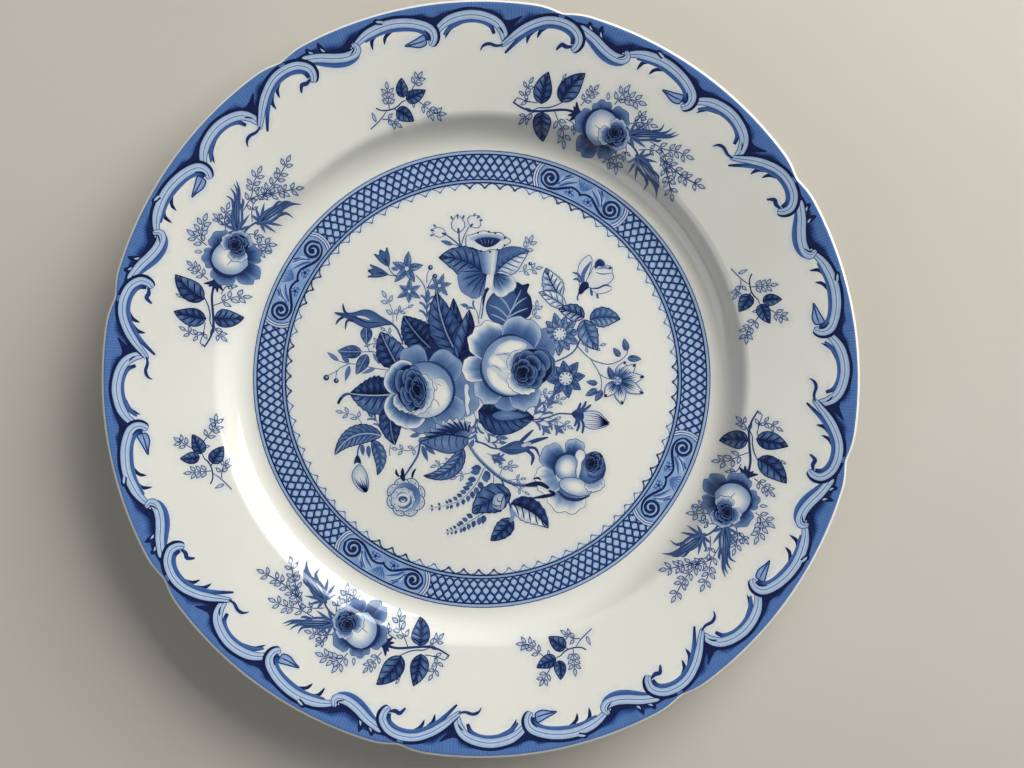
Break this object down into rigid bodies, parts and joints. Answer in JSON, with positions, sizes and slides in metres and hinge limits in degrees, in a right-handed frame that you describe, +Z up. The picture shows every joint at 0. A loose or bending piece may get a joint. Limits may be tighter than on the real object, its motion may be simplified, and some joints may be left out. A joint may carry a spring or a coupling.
{
  "type": "dinner plate",
  "caption": "Round china dinner plate with a scalloped edge, a wide sloping rim, a flat well and blue floral transfer prints.",
  "frame": {"origin": "middle of the foot ring's standing face, on the surface the plate stands on", "axes": "+Z up out of the well; +X and +Y across the plate, with the first notch of the edge 32.3 degrees from +X towards +Y"},
  "size_m": [0.267, 0.267, 0.0228],
  "materials": {
    "biscuit": "matte fired clay",
    "glaze": "glossy cream-white glaze",
    "cobalt_print": "cobalt blue transfer print under a glossy glaze"
  },
  "bodies": {
    "root": {"biscuit_body": "biscuit", "glaze_coat": "glaze", "glaze_recess": "glaze", "border_print": "cobalt_print", "verge_print": "cobalt_print", "bouquet_print": "cobalt_print", "rose_spray_print_1": "cobalt_print", "rose_spray_print_2": "cobalt_print", "rose_spray_print_3": "cobalt_print", "rose_spray_print_4": "cobalt_print", "sprig_print_1": "cobalt_print", "sprig_print_2": "cobalt_print", "sprig_print_3": "cobalt_print", "sprig_print_4": "cobalt_print"}
  },
  "joints": []
}
